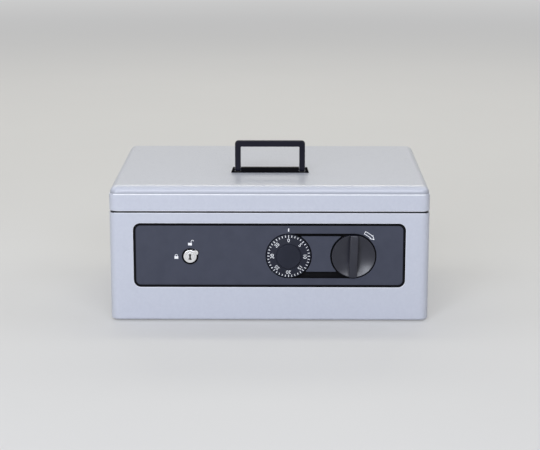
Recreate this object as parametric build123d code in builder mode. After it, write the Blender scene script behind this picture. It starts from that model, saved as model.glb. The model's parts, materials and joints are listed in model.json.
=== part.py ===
"""Portable safe: a sheet steel case and lid, a combination dial, a turning knob, a key lock and a handle.

The origin is on the floor under the middle of the case. The front faces -Y and Z is up. Sizes are in mm.
The lid is closed, the handle stands up, and the knob and the key are upright, which leaves the latch open.
"""

import os
from math import cos, radians, sin, sqrt

from build123d import *

# Case and lid
WIDTH = 368.0
DEPTH = 273.0
CORNER_RADIUS = 10.0
SHEET = 1.2
CASE_TOP = 129.0
LID_TOP = 160.0
LID_GAP = 2.0
CROWN_HEIGHT = 9.0
CROWN_RADIUS = 8.6
CROWN_STEP = 1.0
CROWN_STEP_EDGE = 0.7
BASE_BEND = 2.6
EDGE_BEND = 0.6

# Upstand that the lid closes over
UPSTAND_HEIGHT = 8.0
UPSTAND_CLEARANCE = 2.6

# Feet
FOOT_HEIGHT = 2.0
FOOT_RADIUS = 8.0
FOOT_STEM_RADIUS = 2.5
FOOT_BARB_RADIUS = 3.4
FOOT_BARB_HEIGHT = 2.2
FOOT_SPACING_X = 300.0
FOOT_SPACING_Y = 210.0

# Front cut-out and the moulded panel behind it
CUTOUT_SIDE = 27.4
CUTOUT_HEIGHT = 75.6
CUTOUT_RADIUS = 8.3
CUTOUT_LIP = 0.6
PANEL_Z = 79.0
FACE_GROOVE = 2.9
FACE_PLATE = 0.8
FACE_PLATE_EDGE = 0.4
BRIDGE_INSET = 0.3
BRIDGE_CORNER = 0.6
PANEL_FLANGE = 7.0
PANEL_FLANGE_THICKNESS = 2.5
PANEL_STAND_OFF = 3.4
PANEL_BOSS_WALL = 1.2

# Dial and knob, and the stadium pocket they sit in
KNOB_INSET = 59.8
DISC_SPACING = 74.7
AXIS_Z = 78.5
DIAL_RADIUS = 25.6
KNOB_RADIUS = 24.9
POCKET_RADIUS = 26.5
POCKET_FLOOR = 2.5
POCKET_WALL = 2.0
BRIDGE_RISE = 23.6
BRIDGE_DROP = 18.9
DISC_FLOOR_GAP = 0.4

DIAL_RIM_PROUD = 0.3
DIAL_RIM_EDGE = 0.5
DIAL_CONE_PROUD = 1.7
DIAL_CONE_INNER = 14.8
DIAL_CAP_HEIGHT = 2.2
DIAL_CAP_RADIUS = 14.2
DIAL_CAP_EDGE = 0.7

KNOB_RIM_PROUD = 1.4
KNOB_RIM_WALL = 0.7
KNOB_PROUD = 5.9
KNOB_BAR_WIDTH = 9.6
KNOB_BAR_EDGE = 1.2
KNOB_DISH_DEPTH = 4.8
KNOB_BAR_CROWN = 150.0
KNOB_LEAN = 2.0

# Fits
RUNNING = 0.05
SIDE_PLAY = 0.1
HOLE_CLEARANCE = 0.2

# Chassis plate and its studs
CHASSIS = 1.5
STUD_RADIUS = 2.0
STUD_RISE = 30.0
NUT_HEIGHT = 3.2
NUT_FLATS = 7.0
STUD_END = 0.7

# Cover over the mechanism
COVER_SIDE = 2.6
COVER_HEIGHT = 84.0
COVER_RADIUS = 5.0
COVER_WALL = 1.5
COVER_DEPTH = 26.0
POST_INSET = 8.0
POST_DROP = 35.5
POST_RISE = 36.6
POST_RADIUS = 3.2
COVER_SCREW_RADIUS = 1.25
COVER_SCREW_GRIP = 8.0
COVER_SCREW_HEAD_RADIUS = 3.0
COVER_SCREW_HEAD = 1.8

# Wheel pack on the tumbler post
SPINDLE_RADIUS = 3.0
POST_TUBE_RADIUS = 6.0
POST_FLANGE_RADIUS = 10.0
POST_FLANGE = 1.5
WHEEL_RADIUS = 20.0
WHEEL_THICKNESS = 3.0
WHEEL_GAP = 1.5
WHEEL_STAND_OFF = 6.9
GATE_DEPTH = 2.0
GATE_HALF_WIDTH = 9.5
SPACER_RADIUS = 9.0
FLY_CIRCLE = 13.0
FLY_RADIUS = 1.2
FLY_END_GAP = 0.2
SPINDLE_GRIP = 3.0
CLIP_RADIUS = 5.0
CLIP_THICKNESS = 0.8

# Knob shaft, its bush and the crank
SHAFT_RADIUS = 4.0
SHAFT_GRIP = 4.5
BUSH_RADIUS = 6.0
BUSH_FLANGE_RADIUS = 8.5
BUSH_FLANGE = 1.5
BUSH_SET_BACK = 0.2
CRANK_RADIUS = 13.0
CRANK_SWING = 90.0
CRANK_PIN_RADIUS = 2.0
CRANK_THICKNESS = 2.5
CRANK_EYE = 3.0
CRANK_GAP = 0.9
CRANK_PIN_REACH = 0.6
CRANK_CLIP_RADIUS = 6.0

# Latch bar
BAR_STAND_OFF = 2.0
BAR_THICKNESS = 2.0
BAR_RISE = 23.1
BAR_HEIGHT = 10.0
BAR_TAIL = 13.0
BAR_END = 26.0
FORK_LENGTH = 17.0
FORK_PRONG = 4.0
FORK_PLAY = 0.45
FENCE_THICKNESS = 2.0
FENCE_CLEARANCE = 0.5
FENCE_REACH = 17.3
GUIDE_FROM_LOCK = 31.0
GUIDE_FROM_DIAL = 34.4
GUIDE_FROM_KNOB = 24.7
GUIDE_RISE = 6.2
GUIDE_BASE_RADIUS = 4.2
GUIDE_NECK_RADIUS = 2.5
GUIDE_HEAD = 1.5
GUIDE_END_PLAY = 0.3

# Strikers on the lid and the fingers that catch them
STRIKER_INSET = 29.0
STRIKER_THICKNESS = 3.0
STRIKER_WIDTH = 14.0
STRIKER_FRONT_GAP = 2.0
STRIKER_FOOT = 2.0
STRIKER_FOOT_LENGTH = 16.0
WINDOW_RISE = 1.0
WINDOW_HEIGHT = 9.0
WINDOW_FRAME = 3.5
WINDOW_SILL = 4.0
FINGER_THICKNESS = 5.0
FINGER_LIFT = 1.5
FINGER_ARM = 4.0
FINGER_ARM_GAP = 1.5
FINGER_TIP_REACH = 7.0
SLOT_CLEARANCE = 2.0
STRIKER_RIVET_RADIUS = 1.6
STRIKER_RIVET_HEAD = 1.0
STRIKER_RIVET_HEAD_RADIUS = 2.8

# Key lock
LOCK_INSET = 65.3
LOCK_Z = 77.8
LOCK_HEAD_RADIUS = 7.6
LOCK_HEAD_EDGE = 0.5
LOCK_BODY_RADIUS = 6.5
LOCK_FACE_PROUD = 0.6
LOCK_RECESS_RADIUS = 9.6
LOCK_RECESS_DEPTH = 2.2
LOCK_BOSS_RADIUS = 13.0
LUG_RADIUS = 2.8
LUG_OFFSET = 7.9
LUG_ANGLE = 33.0
LUG_SET_BACK = 0.7
LUG_CLEARANCE = 0.9
LOCK_NUT_FLATS = 20.0
LOCK_NUT_HEIGHT = 3.0
LOCK_TAIL = 4.5
PLUG_RADIUS = 5.0
PLUG_PROUD = 0.2
KEYWAY_WIDTH = 1.9
KEYWAY_HEIGHT = 6.6
KEYWAY_DROP = 0.6
KEYWAY_HEAD_WIDTH = 2.7
KEYWAY_FOOT_WIDTH = 3.5
KEYWAY_END_HEIGHT = 1.5
KEYWAY_DEPTH = 10.0
PLUG_TAIL_RADIUS = 3.0
CAM_RADIUS = 7.5
CAM_THICKNESS = 2.0
CAM_PIN_CIRCLE = 5.0
CAM_PIN_RADIUS = 1.5
CAM_PLAY = 0.25
CAM_SCREW_HEAD = 1.2
CAM_SCREW_HEAD_RADIUS = 3.2
CAM_SCREW_RADIUS = 1.25
CAM_SCREW_LENGTH = 4.0

# Lock bolt
BOLT_WIDTH = 8.0
BOLT_PLATE = 2.0
BOLT_PLATE_GAP = 1.6
BOLT_PLATE_WIDTH = 42.0
BOLT_PLATE_DROP = 13.3
BOLT_PLATE_RISE = 6.7
BOLT_HEAD_HEIGHT = 8.0
BOLT_DROP = 1.0
NOTCH_CLEARANCE = 0.4
BOLT_GUIDE_OFFSET = 15.5
BOLT_GUIDE_BASE_RADIUS = 3.5
BOLT_GUIDE_NECK_RADIUS = 2.0
BOLT_GUIDE_HEAD = 1.2

# Hinge
HINGE_LENGTH = 300.0
KNUCKLES = 9
KNUCKLE_RADIUS = 2.9
KNUCKLE_OFFSET = 3.0
KNUCKLE_GAP = 0.4
HINGE_PIN_RADIUS = 1.25
LEAF = 1.2
LEAF_HEIGHT = 17.0
LEAF_CLEARANCE = 2.7
STOP_HEIGHT = 1.4
HINGE_RIVETS = 5
HINGE_RIVET_SPACING = 66.0
HINGE_RIVET_DROP = 10.5
HINGE_RIVET_RADIUS = 1.6
HINGE_RIVET_HEAD = 0.9
HINGE_RIVET_HEAD_RADIUS = 3.0

# Inner pan of the lid
PAN_RISE = 1.5
PAN_WALL_HEIGHT = 9.0

# Handle
HANDLE_Y = -50.5
HANDLE_WIDTH = 83.0
HANDLE_HEIGHT = 38.3
HANDLE_LEG = 6.7
HANDLE_BAR = 7.0
HANDLE_DEPTH = 6.0
HANDLE_OUTER_RADIUS = 4.0
HANDLE_INNER_RADIUS = 0.8
HANDLE_EDGE = 0.9
HANDLE_SIDE_GAP = 0.3
HANDLE_FLOOR_GAP = 0.3
HANDLE_BASE_DEPTH = 7.0
HANDLE_BASE_HEIGHT = 6.2
HANDLE_BASE_FLOOR = 0.7
HANDLE_EAR = 4.4
HANDLE_EAR_HEIGHT = 5.8
HANDLE_EAR_TAPER = 2.2
HANDLE_BASE_EDGE = 0.6
HANDLE_PIN_RADIUS = 1.0
HANDLE_PIN_GRIP = 5.0
HANDLE_SCREW_X = 22.0
HANDLE_SCREW_RADIUS = 1.9
HANDLE_SCREW_DEPTH = 4.5
HANDLE_SCREW_HEAD_RADIUS = 3.5
HANDLE_SCREW_HEAD = 2.2
HANDLE_PLATE_LENGTH = 74.0
HANDLE_PLATE_WIDTH = 18.0
HANDLE_PLATE = 1.5

# Heights that follow
lid_bottom = CASE_TOP + LID_GAP
upstand_inset = SHEET + UPSTAND_CLEARANCE
upstand_top = CASE_TOP + UPSTAND_HEIGHT
pan_bottom = upstand_top + PAN_RISE
lid_inner_top = LID_TOP - SHEET

# Places across the front that follow from the cut-out
cutout_width = WIDTH - 2 * CUTOUT_SIDE
knob_x = cutout_width / 2 - KNOB_INSET
dial_x = knob_x - DISC_SPACING
discs_middle = (dial_x + knob_x) / 2
lock_x = LOCK_INSET - cutout_width / 2
stud_x = (cutout_width + PANEL_FLANGE) / 2
cover_width = cutout_width - 2 * COVER_SIDE
post_x = cover_width / 2 - POST_INSET
striker_x = cover_width / 2 - STRIKER_INSET

# Heights in the mechanism that follow from the dial's and the lock's
bar_bottom = AXIS_Z + BAR_RISE
bar_top = bar_bottom + BAR_HEIGHT
guide_z = bar_bottom + GUIDE_RISE
window_bottom = bar_bottom + WINDOW_RISE
bolt_plate_bottom = LOCK_Z - BOLT_PLATE_DROP
bolt_plate_top = LOCK_Z + BOLT_PLATE_RISE

# Depths that follow, from the front wall to the back of the mechanism
front = -DEPTH / 2
back = DEPTH / 2
front_inner = front + SHEET
back_inner = back - SHEET
panel_face = front_inner - FACE_PLATE
recess_floor = panel_face + LOCK_RECESS_DEPTH
flange_back = front_inner + PANEL_FLANGE_THICKNESS
chassis_front = flange_back + PANEL_STAND_OFF
chassis_back = chassis_front + CHASSIS
pocket_floor = chassis_front - POCKET_FLOOR
disc_back = pocket_floor - DISC_FLOOR_GAP
cover_inner = chassis_back + COVER_DEPTH
cover_back = cover_inner + COVER_WALL
bar_front = chassis_back + BAR_STAND_OFF + SIDE_PLAY
bar_back = bar_front + BAR_THICKNESS

# Travel of the latch bar: the crank swings evenly about the upright
half_swing = radians(CRANK_SWING / 2)
bar_travel = 2 * CRANK_RADIUS * sin(half_swing)
crank_pin_x = knob_x + CRANK_RADIUS * sin(half_swing)
crank_pin_z = AXIS_Z + CRANK_RADIUS * cos(half_swing)

# Travel of the lock bolt: the cam pin swings evenly about the level
bolt_travel = 2 * CAM_PIN_CIRCLE * sin(half_swing)
cam_pin_x = lock_x + CAM_PIN_CIRCLE * cos(half_swing)
cam_pin_z = LOCK_Z - CAM_PIN_CIRCLE * sin(half_swing)

# Striker and finger places that follow
striker_front = bar_back + STRIKER_FRONT_GAP
striker_back = striker_front + STRIKER_WIDTH
striker_middle = (striker_front + striker_back) / 2
finger_low = window_bottom + FINGER_LIFT
finger_high = finger_low + FINGER_THICKNESS

# Hinge line
hinge_y = back + KNUCKLE_OFFSET
hinge_z = CASE_TOP + LID_GAP / 2

# Handle pivot line
handle_pivot_z = LID_TOP + HANDLE_BASE_FLOOR + HANDLE_FLOOR_GAP + HANDLE_DEPTH / 2
handle_inner_half = HANDLE_WIDTH / 2 - HANDLE_LEG
base_half = HANDLE_WIDTH / 2 + HANDLE_SIDE_GAP + HANDLE_EAR


def facing(y):
    """A plane at depth y that looks out of the front, so that a sketch's X and Y are the safe's X and Z."""
    return Plane(origin=(0, y, 0), x_dir=(1, 0, 0), z_dir=(0, -1, 0))


def across(x):
    """A plane at x that looks to the right, so that a sketch's X and Y are the safe's Y and Z."""
    return Plane(origin=(x, 0, 0), x_dir=(0, 1, 0), z_dir=(1, 0, 0))


def outline(inset, mode=Mode.ADD):
    """The rounded rectangle of case and lid in plan, drawn smaller all round by the inset."""
    RectangleRounded(WIDTH - 2 * inset, DEPTH - 2 * inset, CORNER_RADIUS - inset, mode=mode)


def round_bar(x, z, radius, y_front, y_back, mode=Mode.ADD):
    """A round bar or hole from front to back."""
    with BuildSketch(facing(y_back)) as profile:
        with Locations((x, z)):
            Circle(radius)
    extrude(profile.sketch, amount=y_back - y_front, mode=mode)


def upright_bar(x, y, radius, z_low, z_high, mode=Mode.ADD):
    """A round bar or hole that stands upright."""
    with BuildSketch(Plane.XY.offset(z_low)) as profile:
        with Locations((x, y)):
            Circle(radius)
    extrude(profile.sketch, amount=z_high - z_low, mode=mode)


def block(x_low, x_high, y_low, y_high, z_low, z_high, mode=Mode.ADD):
    """A plain block between six faces."""
    with BuildSketch(Plane.XY.offset(z_low)) as profile:
        with Locations(((x_low + x_high) / 2, (y_low + y_high) / 2)):
            Rectangle(x_high - x_low, y_high - y_low)
    extrude(profile.sketch, amount=z_high - z_low, mode=mode)


def hexagon_nut(x, z, flats, bore, y_front, height):
    """A hexagon nut on a stud that runs from front to back."""
    with BuildSketch(facing(y_front + height)) as profile:
        with Locations((x, z)):
            RegularPolygon(flats / 2, 6, major_radius=False, rotation=30)
            Circle(bore, mode=Mode.SUBTRACT)
    extrude(profile.sketch, amount=height)


def finish(builder, name):
    """Label the piece and write its file."""
    builder.part.label = name
    export_step(builder.part, f"parts/{name}.step")


os.makedirs("parts", exist_ok=True)

stud_places = [(side * stud_x, PANEL_Z + rise) for side in (-1, 1) for rise in (-STUD_RISE, STUD_RISE)]
post_places = [(side * post_x, PANEL_Z + rise) for side in (-1, 1) for rise in (-POST_DROP, POST_RISE)]
foot_places = [
    (side * FOOT_SPACING_X / 2, end * FOOT_SPACING_Y / 2) for side in (-1, 1) for end in (-1, 1)
]
rivet_places = [(number - (HINGE_RIVETS - 1) / 2) * HINGE_RIVET_SPACING for number in range(HINGE_RIVETS)]
case_rivet_z = hinge_z - HINGE_RIVET_DROP
lid_rivet_z = hinge_z + HINGE_RIVET_DROP

# Case shell: a folded tray whose top edge turns in and up to form the upstand
with BuildPart() as case_shell:
    with BuildSketch(Plane.XY.offset(FOOT_HEIGHT)):
        outline(0)
    extrude(amount=CASE_TOP - FOOT_HEIGHT)
    fillet(case_shell.faces().sort_by(Axis.Z)[0].edges(), BASE_BEND)
    fillet(case_shell.faces().sort_by(Axis.Z)[-1].edges(), EDGE_BEND)
    with BuildSketch(Plane.XY.offset(FOOT_HEIGHT + SHEET)):
        outline(SHEET)
    extrude(amount=CASE_TOP - FOOT_HEIGHT - 2 * SHEET, mode=Mode.SUBTRACT)
    with BuildSketch(Plane.XY.offset(CASE_TOP - SHEET)):
        outline(upstand_inset)
    extrude(amount=SHEET + UPSTAND_HEIGHT)
    with BuildSketch(Plane.XY.offset(CASE_TOP - SHEET)):
        outline(upstand_inset + SHEET)
    extrude(amount=SHEET + UPSTAND_HEIGHT, mode=Mode.SUBTRACT)
    with BuildSketch(facing(front_inner)):
        with Locations((0, PANEL_Z)):
            RectangleRounded(cutout_width, CUTOUT_HEIGHT, CUTOUT_RADIUS)
    extrude(amount=SHEET, mode=Mode.SUBTRACT)
    lip_half_x = cutout_width / 2 + RUNNING
    lip_half_z = CUTOUT_HEIGHT / 2 + RUNNING
    cut_out_edges = (
        case_shell.edges()
        .filter_by_position(Axis.Y, front - RUNNING, front + RUNNING)
        .filter_by_position(Axis.Z, PANEL_Z - lip_half_z, PANEL_Z + lip_half_z)
        .filter_by_position(Axis.X, -lip_half_x, lip_half_x)
    )
    fillet(cut_out_edges, CUTOUT_LIP)
    for x, y in foot_places:
        upright_bar(x, y, FOOT_STEM_RADIUS, FOOT_HEIGHT, FOOT_HEIGHT + SHEET, mode=Mode.SUBTRACT)
    for x in rivet_places:
        round_bar(x, case_rivet_z, HINGE_RIVET_RADIUS, back_inner, back, mode=Mode.SUBTRACT)
finish(case_shell, "case_shell")

# Feet: soft pads, each with a stem and a barb that snap through the floor of the case
with BuildPart() as rubber_feet:
    for x, y in foot_places:
        upright_bar(x, y, FOOT_RADIUS, 0, FOOT_HEIGHT)
        upright_bar(x, y, FOOT_STEM_RADIUS, FOOT_HEIGHT, FOOT_HEIGHT + SHEET)
        upright_bar(x, y, FOOT_BARB_RADIUS, FOOT_HEIGHT + SHEET, FOOT_HEIGHT + SHEET + FOOT_BARB_HEIGHT)
finish(rubber_feet, "rubber_feet")


def panel_outline(margin):
    """The rounded rectangle of the cut-out, drawn larger all round by the margin."""
    with Locations((0, PANEL_Z)):
        RectangleRounded(cutout_width + 2 * margin, CUTOUT_HEIGHT + 2 * margin, CUTOUT_RADIUS + margin)


def stadium(radius, mode=Mode.ADD):
    """The long rounded outline about the dial and the knob."""
    with Locations((discs_middle, AXIS_Z)):
        SlotCenterToCenter(knob_x - dial_x, 2 * radius, mode=mode)


def bridge_block(inset, mode=Mode.ADD):
    """The rectangle of the bridge before the round pockets hollow its ends."""
    with Locations((discs_middle, AXIS_Z + (BRIDGE_RISE - BRIDGE_DROP) / 2)):
        Rectangle(knob_x - dial_x, BRIDGE_RISE + BRIDGE_DROP - 2 * inset, mode=mode)


def round_pockets(radius, mode=Mode.ADD):
    """The circles about the dial and the knob."""
    with Locations((dial_x, AXIS_Z), (knob_x, AXIS_Z)):
        Circle(radius, mode=mode)


lug_x = lock_x + LUG_OFFSET * cos(radians(LUG_ANGLE))
lug_z = LOCK_Z + LUG_OFFSET * sin(radians(LUG_ANGLE))


def lock_recess(y_front, y_back):
    """Cut the round recess about the lock's head, with the lobe that clears its lug."""
    round_bar(lock_x, LOCK_Z, LOCK_RECESS_RADIUS, y_front, y_back, mode=Mode.SUBTRACT)
    round_bar(lug_x, lug_z, LUG_RADIUS + LUG_CLEARANCE, y_front, y_back, mode=Mode.SUBTRACT)


# Front panel: a dark moulding behind the sheet, with a stadium pocket that leaves a bridge standing in it
with BuildPart() as front_panel:
    with BuildSketch(facing(flange_back)):
        panel_outline(PANEL_FLANGE)
    extrude(amount=PANEL_FLANGE_THICKNESS)
    # Cup behind the flange that deepens the pocket
    with BuildSketch(facing(chassis_front)):
        stadium(POCKET_RADIUS + POCKET_WALL)
    extrude(amount=PANEL_STAND_OFF)
    with BuildSketch(facing(pocket_floor)):
        stadium(POCKET_RADIUS)
        bridge_block(0, mode=Mode.SUBTRACT)
        round_pockets(POCKET_RADIUS)
    extrude(amount=pocket_floor - front_inner, mode=Mode.SUBTRACT)
    round_bar(dial_x, AXIS_Z, POST_TUBE_RADIUS + RUNNING, pocket_floor, chassis_front, mode=Mode.SUBTRACT)
    round_bar(knob_x, AXIS_Z, BUSH_RADIUS, pocket_floor, chassis_front, mode=Mode.SUBTRACT)
    # Boss behind the lock, the recess about its head and the hole for its body
    round_bar(lock_x, LOCK_Z, LOCK_BOSS_RADIUS, flange_back, chassis_front)
    lock_recess(front_inner, recess_floor)
    round_bar(lock_x, LOCK_Z, LOCK_BODY_RADIUS, recess_floor, chassis_front, mode=Mode.SUBTRACT)
    # Bosses round the studs
    for x, z in stud_places:
        round_bar(x, z, STUD_RADIUS + HOLE_CLEARANCE + PANEL_BOSS_WALL, flange_back, chassis_front)
        round_bar(x, z, STUD_RADIUS + HOLE_CLEARANCE, front_inner, chassis_front, mode=Mode.SUBTRACT)
finish(front_panel, "front_panel")

# Face plate on the moulding, and the bridge plate between the dial and the knob
with BuildPart() as face_plate:
    with BuildSketch(facing(front_inner)):
        panel_outline(-FACE_GROOVE)
    extrude(amount=FACE_PLATE)
    fillet(face_plate.faces().sort_by(Axis.Y)[0].edges(), FACE_PLATE_EDGE)
    with BuildSketch(facing(front_inner)):
        stadium(POCKET_RADIUS)
    extrude(amount=FACE_PLATE, mode=Mode.SUBTRACT)
    lock_recess(panel_face, front_inner)
finish(face_plate, "face_plate")

with BuildPart() as bridge_plate:
    with BuildSketch(facing(front_inner)) as bridge_profile:
        bridge_block(BRIDGE_INSET)
        round_pockets(POCKET_RADIUS + BRIDGE_INSET, mode=Mode.SUBTRACT)
        fillet(bridge_profile.vertices(), BRIDGE_CORNER)
    extrude(amount=FACE_PLATE)
finish(bridge_plate, "bridge_plate")

# Studs welded to the inside of the front wall, and the nuts that clamp the panel and the chassis
with BuildPart() as weld_studs:
    for x, z in stud_places:
        round_bar(x, z, STUD_RADIUS, front_inner, chassis_back + NUT_HEIGHT + STUD_END)
finish(weld_studs, "weld_studs")

with BuildPart() as stud_nuts:
    for x, z in stud_places:
        hexagon_nut(x, z, NUT_FLATS, STUD_RADIUS, chassis_back, NUT_HEIGHT)
finish(stud_nuts, "stud_nuts")

# Lock chassis: the plate that carries the mechanism
with BuildPart() as lock_chassis:
    with BuildSketch(facing(chassis_back)):
        panel_outline(PANEL_FLANGE)
        with Locations(*stud_places):
            Circle(STUD_RADIUS + HOLE_CLEARANCE, mode=Mode.SUBTRACT)
        with Locations((dial_x, AXIS_Z)):
            Circle(POST_TUBE_RADIUS, mode=Mode.SUBTRACT)
        with Locations((knob_x, AXIS_Z)):
            Circle(BUSH_RADIUS, mode=Mode.SUBTRACT)
        with Locations((lock_x, LOCK_Z)):
            Circle(LOCK_BODY_RADIUS, mode=Mode.SUBTRACT)
    extrude(amount=CHASSIS)
finish(lock_chassis, "lock_chassis")

# Cover: an open box over the mechanism, with a slot in its roof for each striker
slot_half_x = STRIKER_THICKNESS / 2 + SLOT_CLEARANCE
with BuildPart() as lock_cover:
    with BuildSketch(facing(cover_back)):
        with Locations((0, PANEL_Z)):
            RectangleRounded(cover_width, COVER_HEIGHT, COVER_RADIUS)
    extrude(amount=COVER_WALL + COVER_DEPTH)
    with BuildSketch(facing(cover_inner)):
        with Locations((0, PANEL_Z)):
            RectangleRounded(
                cover_width - 2 * COVER_WALL,
                COVER_HEIGHT - 2 * COVER_WALL,
                COVER_RADIUS - COVER_WALL,
            )
    extrude(amount=COVER_DEPTH, mode=Mode.SUBTRACT)
    for side in (-1, 1):
        block(
            side * striker_x - slot_half_x,
            side * striker_x + slot_half_x,
            striker_front - SLOT_CLEARANCE,
            striker_back + SLOT_CLEARANCE,
            PANEL_Z + COVER_HEIGHT / 2 - COVER_WALL,
            PANEL_Z + COVER_HEIGHT / 2,
            mode=Mode.SUBTRACT,
        )
    for x, z in post_places:
        round_bar(x, z, COVER_SCREW_RADIUS + HOLE_CLEARANCE, cover_inner, cover_back, mode=Mode.SUBTRACT)
finish(lock_cover, "lock_cover")

with BuildPart() as cover_posts:
    for x, z in post_places:
        round_bar(x, z, POST_RADIUS, chassis_back, cover_inner)
        round_bar(x, z, COVER_SCREW_RADIUS, cover_inner - COVER_SCREW_GRIP, cover_inner, mode=Mode.SUBTRACT)
finish(cover_posts, "cover_posts")

with BuildPart() as cover_screws:
    for x, z in post_places:
        round_bar(x, z, COVER_SCREW_RADIUS, cover_inner - COVER_SCREW_GRIP, cover_back)
        round_bar(x, z, COVER_SCREW_HEAD_RADIUS, cover_back, cover_back + COVER_SCREW_HEAD)
finish(cover_screws, "cover_screws")

# Tumbler post: a tube fixed in the chassis, which carries the tumblers outside and the spindle inside
rear_tumbler = chassis_back + WHEEL_STAND_OFF
front_tumbler = rear_tumbler + WHEEL_THICKNESS + WHEEL_GAP
drive_front = front_tumbler + WHEEL_THICKNESS + WHEEL_GAP
post_end = drive_front - FLY_END_GAP
with BuildPart() as tumbler_post:
    round_bar(dial_x, AXIS_Z, POST_TUBE_RADIUS, pocket_floor, post_end)
    round_bar(dial_x, AXIS_Z, POST_FLANGE_RADIUS, chassis_back, chassis_back + POST_FLANGE)
    round_bar(dial_x, AXIS_Z, SPINDLE_RADIUS + RUNNING, pocket_floor, post_end, mode=Mode.SUBTRACT)
finish(tumbler_post, "tumbler_post")

with BuildPart() as tumbler_spacers:
    gaps = (
        (chassis_back + POST_FLANGE, rear_tumbler),
        (rear_tumbler + WHEEL_THICKNESS, front_tumbler),
        (front_tumbler + WHEEL_THICKNESS, drive_front),
    )
    for gap_front, gap_back in gaps:
        round_bar(dial_x, AXIS_Z, SPACER_RADIUS, gap_front + SIDE_PLAY, gap_back - SIDE_PLAY)
    round_bar(dial_x, AXIS_Z, POST_TUBE_RADIUS, chassis_back, drive_front, mode=Mode.SUBTRACT)
finish(tumbler_spacers, "tumbler_spacers")


def wheel(y_front, bore):
    """A wheel of the lock: a disc with a shallow gate at the top, where the fence can pass."""
    round_bar(dial_x, AXIS_Z, WHEEL_RADIUS, y_front, y_front + WHEEL_THICKNESS)
    round_bar(dial_x, AXIS_Z, bore, y_front, y_front + WHEEL_THICKNESS, mode=Mode.SUBTRACT)
    block(
        dial_x - GATE_HALF_WIDTH,
        dial_x + GATE_HALF_WIDTH,
        y_front,
        y_front + WHEEL_THICKNESS,
        AXIS_Z + WHEEL_RADIUS - GATE_DEPTH,
        AXIS_Z + WHEEL_RADIUS,
        mode=Mode.SUBTRACT,
    )


def fly(side, y_face, points):
    """A pin on a wheel's face that picks up the next one. side is 1 on the right, points is 1 to the back."""
    reach = WHEEL_GAP - FLY_END_GAP
    y_low, y_high = sorted((y_face, y_face + points * reach))
    round_bar(dial_x + side * FLY_CIRCLE, AXIS_Z, FLY_RADIUS, y_low, y_high)


with BuildPart() as drive_wheel:
    wheel(drive_front, SPINDLE_RADIUS)
    fly(1, drive_front, -1)
finish(drive_wheel, "drive_wheel")

with BuildPart() as tumbler_1:
    wheel(front_tumbler, POST_TUBE_RADIUS + RUNNING)
    fly(-1, front_tumbler + WHEEL_THICKNESS, 1)
    fly(1, front_tumbler, -1)
finish(tumbler_1, "tumbler_1")

with BuildPart() as tumbler_2:
    wheel(rear_tumbler, POST_TUBE_RADIUS + RUNNING)
    fly(-1, rear_tumbler + WHEEL_THICKNESS, 1)
finish(tumbler_2, "tumbler_2")

# Dial: a shallow cone with a raised cap, turned from one profile
dial_rim = front - DIAL_RIM_PROUD
dial_cone = front - DIAL_CONE_PROUD
dial_cap = dial_cone - DIAL_CAP_HEIGHT
with BuildPart() as dial:
    with BuildSketch(across(dial_x)):
        with BuildLine():
            Polyline(
                (disc_back, AXIS_Z),
                (disc_back, AXIS_Z + DIAL_RADIUS),
                (dial_rim + DIAL_RIM_EDGE, AXIS_Z + DIAL_RADIUS),
                (dial_rim, AXIS_Z + DIAL_RADIUS - DIAL_RIM_EDGE),
                (dial_cone, AXIS_Z + DIAL_CONE_INNER),
                (dial_cap + DIAL_CAP_EDGE, AXIS_Z + DIAL_CAP_RADIUS),
                (dial_cap, AXIS_Z + DIAL_CAP_RADIUS - DIAL_CAP_EDGE),
                (dial_cap, AXIS_Z),
                close=True,
            )
        make_face()
    revolve(axis=Axis((dial_x, 0, AXIS_Z), (0, 1, 0)))
    round_bar(dial_x, AXIS_Z, SPINDLE_RADIUS, disc_back - SPINDLE_GRIP, disc_back, mode=Mode.SUBTRACT)
finish(dial, "dial")

drive_back = drive_front + WHEEL_THICKNESS
with BuildPart() as dial_spindle:
    round_bar(dial_x, AXIS_Z, SPINDLE_RADIUS, disc_back - SPINDLE_GRIP, drive_back + 2 * CLIP_THICKNESS)
finish(dial_spindle, "dial_spindle")

with BuildPart() as spindle_clip:
    round_bar(dial_x, AXIS_Z, CLIP_RADIUS, drive_back, drive_back + CLIP_THICKNESS)
    round_bar(dial_x, AXIS_Z, SPINDLE_RADIUS, drive_back, drive_back + CLIP_THICKNESS, mode=Mode.SUBTRACT)
finish(spindle_clip, "spindle_clip")

# Turn knob: a dished disc with a finger bar across it, whose front is slightly crowned
knob_rim = front - KNOB_RIM_PROUD
knob_front = front - KNOB_PROUD
dish_edge = KNOB_RADIUS - KNOB_RIM_WALL
dish_radius = (dish_edge**2 + KNOB_DISH_DEPTH**2) / (2 * KNOB_DISH_DEPTH)
knob_axis = Axis((knob_x, 0, AXIS_Z), (0, 1, 0))
with BuildPart() as turn_knob:
    round_bar(knob_x, AXIS_Z, KNOB_RADIUS, knob_rim, disc_back)
    with Locations((knob_x, knob_rim + KNOB_DISH_DEPTH - dish_radius, AXIS_Z)):
        Sphere(dish_radius, mode=Mode.SUBTRACT)
    with BuildSketch(facing(disc_back)):
        with Locations((knob_x, AXIS_Z)):
            Circle(KNOB_RADIUS)
            Rectangle(KNOB_BAR_WIDTH, 2 * KNOB_RADIUS, mode=Mode.INTERSECT)
    extrude(amount=disc_back - knob_front)
    with Locations((knob_x, knob_front + KNOB_BAR_CROWN, AXIS_Z)):
        Cylinder(KNOB_BAR_CROWN, 2 * KNOB_BAR_CROWN, rotation=(0, 90, 0), mode=Mode.INTERSECT)
    fillet(turn_knob.faces().sort_by(Axis.Y)[0].edges(), KNOB_BAR_EDGE)
    round_bar(knob_x, AXIS_Z, SHAFT_RADIUS, disc_back - SHAFT_GRIP, disc_back, mode=Mode.SUBTRACT)
turn_knob.part = turn_knob.part.rotate(knob_axis, KNOB_LEAN)
finish(turn_knob, "turn_knob")

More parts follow.
